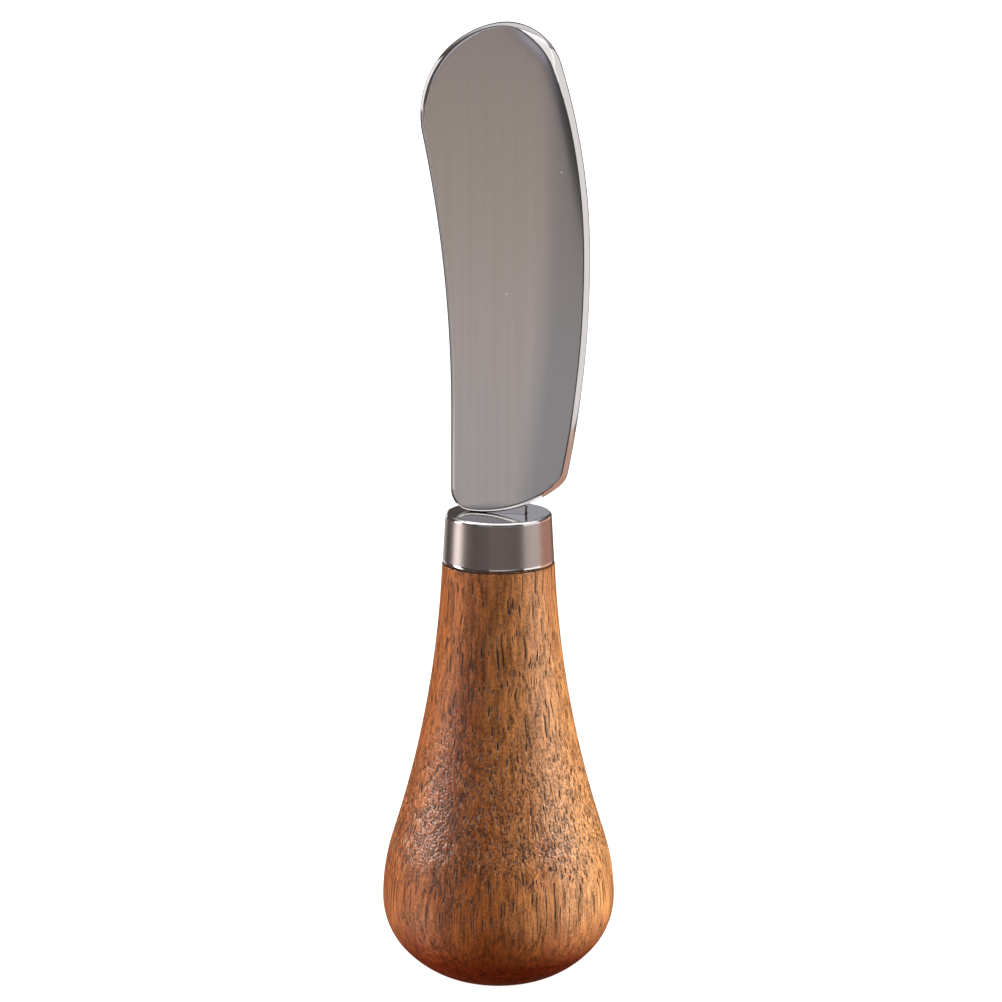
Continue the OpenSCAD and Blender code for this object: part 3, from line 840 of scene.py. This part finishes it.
class SPATULA_OT_cast_resin(bpy.types.Operator):
    """Finish the hidden resin that holds the tang"""
    bl_idname = "spatula.cast_resin"
    bl_label = "Cast resin"

    def execute(self, context):
        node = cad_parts["tang_epoxy"]
        epoxy = cast_epoxy(context.scene.spatula_resin)
        for slot in node.material_slots:
            slot.link = "OBJECT"
            slot.material = epoxy
        return {"FINISHED"}


def lay_floor(size):
    """The pale paper that the object stands on."""
    bm = bmesh.new()
    bmesh.ops.create_circle(bm, cap_ends=True, segments=96, radius=3.0)
    mesh = bpy.data.meshes.new("floor")
    bm.to_mesh(mesh)
    bm.free()
    mesh.materials.append(pale_paper(size))
    floor = bpy.data.objects.new("floor", mesh)
    # The paper throws no light up at the object: the lamps that lie on the table do
    floor.visible_diffuse = False
    floor.visible_glossy = False
    floor.visible_shadow = False
    bpy.context.scene.collection.objects.link(floor)


def place_camera():
    """The camera at the photograph's angle, with a long lens."""
    back = math.cos(CAMERA_RISE) * TO_CAMERA + math.sin(CAMERA_RISE) * Vector((0, 0, 1))
    lens = bpy.data.cameras.new("photo_lens")
    lens.sensor_width = SENSOR
    lens.lens = SENSOR * FOCAL / PHOTO_SIDE
    lens.shift_x, lens.shift_y = SHIFT_X / PHOTO_SIDE, SHIFT_Y / PHOTO_SIDE
    camera = bpy.data.objects.new("photo_camera", lens)
    camera.location = FOCUS + CAMERA_AWAY * back
    camera.rotation_euler = (-back).to_track_quat("-Z", "Y").to_euler()
    bpy.context.scene.collection.objects.link(camera)
    bpy.context.scene.camera = camera


def soft_box(name, place, aim, extent, tint, pieces, watts):
    """A rectangular lamp that faces a height on the axis or straight up, is kept to some pieces and isn't
    seen by the camera."""
    degrees, distance, height = place
    turn = math.radians(degrees)
    spot = distance * (math.cos(turn) * TO_CAMERA + math.sin(turn) * TO_RIGHT) + Vector((0, 0, height))
    facing = STRAIGHT_UP if aim is FACES_UP else Vector((0, 0, aim)) - spot
    lamp = bpy.data.lights.new(name, "AREA")
    lamp.shape = "RECTANGLE"
    lamp.size, lamp.size_y = extent
    lamp.energy = watts
    lamp.color = linear(tint)[:3]
    holder = bpy.data.objects.new(name, lamp)
    holder.location = spot
    holder.rotation_euler = facing.to_track_quat("-Z", "Y").to_euler()
    holder.visible_camera = False
    holder.visible_diffuse = name not in MIRRORED_ONLY
    holder.visible_glossy = name not in UNMIRRORED
    bpy.context.scene.collection.objects.link(holder)
    receivers = bpy.data.collections.new(f"{name}_receivers")
    for piece in pieces:
        receivers.objects.link(bpy.data.objects[piece])
    holder.light_linking.receiver_collection = receivers


def dim_studio(size):
    """The world: dim round the object, bright overhead and dark below, and white where the camera sees it."""
    world = bpy.data.worlds.new("studio")
    world.use_nodes = True
    tree = world.node_tree
    tree.nodes.clear()
    way = add_node(tree, "ShaderNodeTexCoord", out="Generated")
    rise = add_node(tree, "ShaderNodeSeparateXYZ", {0: way}, out="Z")
    low = add_node(tree, "ShaderNodeMapRange", {"Value": rise, "From Min": -0.35, "From Max": -0.7},
                   interpolation_type="SMOOTHSTEP")
    high = add_node(tree, "ShaderNodeMapRange", {"Value": rise, "From Min": 0.4, "From Max": 0.75},
                    interpolation_type="SMOOTHSTEP")
    walls = add_node(tree, "ShaderNodeMix", {FACTOR: low, FIRST: size.around, SECOND: size.below}, **COLOURS)
    studio = add_node(tree, "ShaderNodeMix", {FACTOR: high, FIRST: walls, SECOND: size.above}, **COLOURS)
    seen = add_node(tree, "ShaderNodeLightPath", out="Is Camera Ray")
    tone = add_node(tree, "ShaderNodeMix", {FACTOR: seen, FIRST: studio, SECOND: linear(WHITE)}, **COLOURS)
    glow = add_node(tree, "ShaderNodeBackground", {"Color": tone})
    add_node(tree, "ShaderNodeOutputWorld", {"Surface": glow})
    return world


class SPATULA_OT_set_stage(bpy.types.Operator):
    """Lay the pale floor, place the camera and hang the soft boxes"""
    bl_idname = "spatula.set_stage"
    bl_label = "Set stage"

    def execute(self, context):
        size = context.scene.spatula_stage
        lay_floor(size)
        place_camera()
        for name, *lamp in LAMPS:
            soft_box(name, *lamp, watts=getattr(size, name))
        context.scene.world = dim_studio(size)
        context.scene.view_settings.view_transform = "Standard"
        return {"FINISHED"}


class SPATULA_PT_sidebar(bpy.types.Panel):
    """Lists the pieces of the spatula with their sizes and colours"""
    bl_idname = "SPATULA_PT_sidebar"
    bl_label = "Cheese spatula"
    bl_space_type = "VIEW_3D"
    bl_region_type = "UI"
    bl_category = "Spatula"

    def draw(self, context):
        for operator, settings in STEPS:
            box = self.layout.box()
            box.operator(operator.bl_idname)
            group = getattr(context.scene, settings)
            for name in group.__annotations__:
                box.prop(group, name)


GROUPS = {
    "spatula_handle": HandleSettings,
    "spatula_ferrule": FerruleSettings,
    "spatula_blade": BladeSettings,
    "spatula_resin": ResinSettings,
    "spatula_stage": StageSettings,
}

STEPS = (
    (SPATULA_OT_turn_handle, "spatula_handle"),
    (SPATULA_OT_draw_ferrule, "spatula_ferrule"),
    (SPATULA_OT_grind_blade, "spatula_blade"),
    (SPATULA_OT_cast_resin, "spatula_resin"),
    (SPATULA_OT_set_stage, "spatula_stage"),
)


def register():
    for name, group in GROUPS.items():
        bpy.utils.register_class(group)
        setattr(bpy.types.Scene, name, PointerProperty(type=group))
    for operator, _ in STEPS:
        bpy.utils.register_class(operator)
    bpy.utils.register_class(SPATULA_PT_sidebar)


def unregister():
    bpy.utils.unregister_class(SPATULA_PT_sidebar)
    for operator, _ in reversed(STEPS):
        bpy.utils.unregister_class(operator)
    for name, group in reversed(GROUPS.items()):
        delattr(bpy.types.Scene, name)
        bpy.utils.unregister_class(group)


def main():
    register()
    bpy.ops.spatula.turn_handle()
    bpy.ops.spatula.draw_ferrule()
    bpy.ops.spatula.grind_blade()
    bpy.ops.spatula.cast_resin()
    bpy.ops.spatula.set_stage()


if __name__ == "__main__":
    main()
